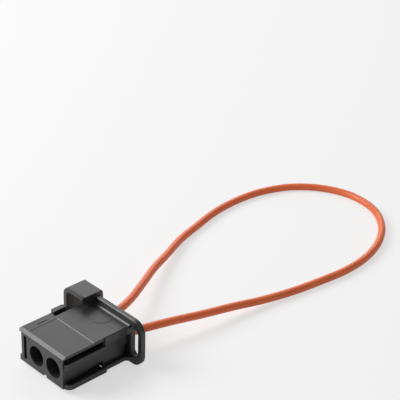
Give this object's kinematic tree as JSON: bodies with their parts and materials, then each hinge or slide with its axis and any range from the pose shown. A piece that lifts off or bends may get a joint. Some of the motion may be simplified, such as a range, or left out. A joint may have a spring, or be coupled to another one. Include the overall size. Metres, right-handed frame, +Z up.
{
  "type": "fibre loopback plug",
  "caption": "Charcoal two-port plastic fibre plug with a rear flange, guarded side latch and an orange fibre loop joining its ports.",
  "frame": {"origin": "middle of the shell's plan, on the plane of the flange's lower edge", "axes": "+Y from the nose back to the fibre loop, +X across the plug away from the latch arm, +Z up"},
  "size_m": [0.0537, 0.1375, 0.0148],
  "materials": {
    "shell_plastic": "semi-gloss, moulded",
    "carrier_plastic": "semi-gloss, moulded",
    "lock_plastic": "semi-gloss, moulded",
    "ferrule_plastic": "smooth, moulded",
    "fibre_core": "polished end face",
    "jacket": "soft satin, slightly translucent"
  },
  "bodies": {
    "root": {"outer_shell": "shell_plastic", "ferrule_carrier": "carrier_plastic", "ferrule_lock": "lock_plastic", "ferrule_left": "ferrule_plastic", "ferrule_right": "ferrule_plastic", "fibre_end_left": "fibre_core", "fibre_end_right": "fibre_core", "fibre_loop": "jacket"}
  },
  "joints": []
}
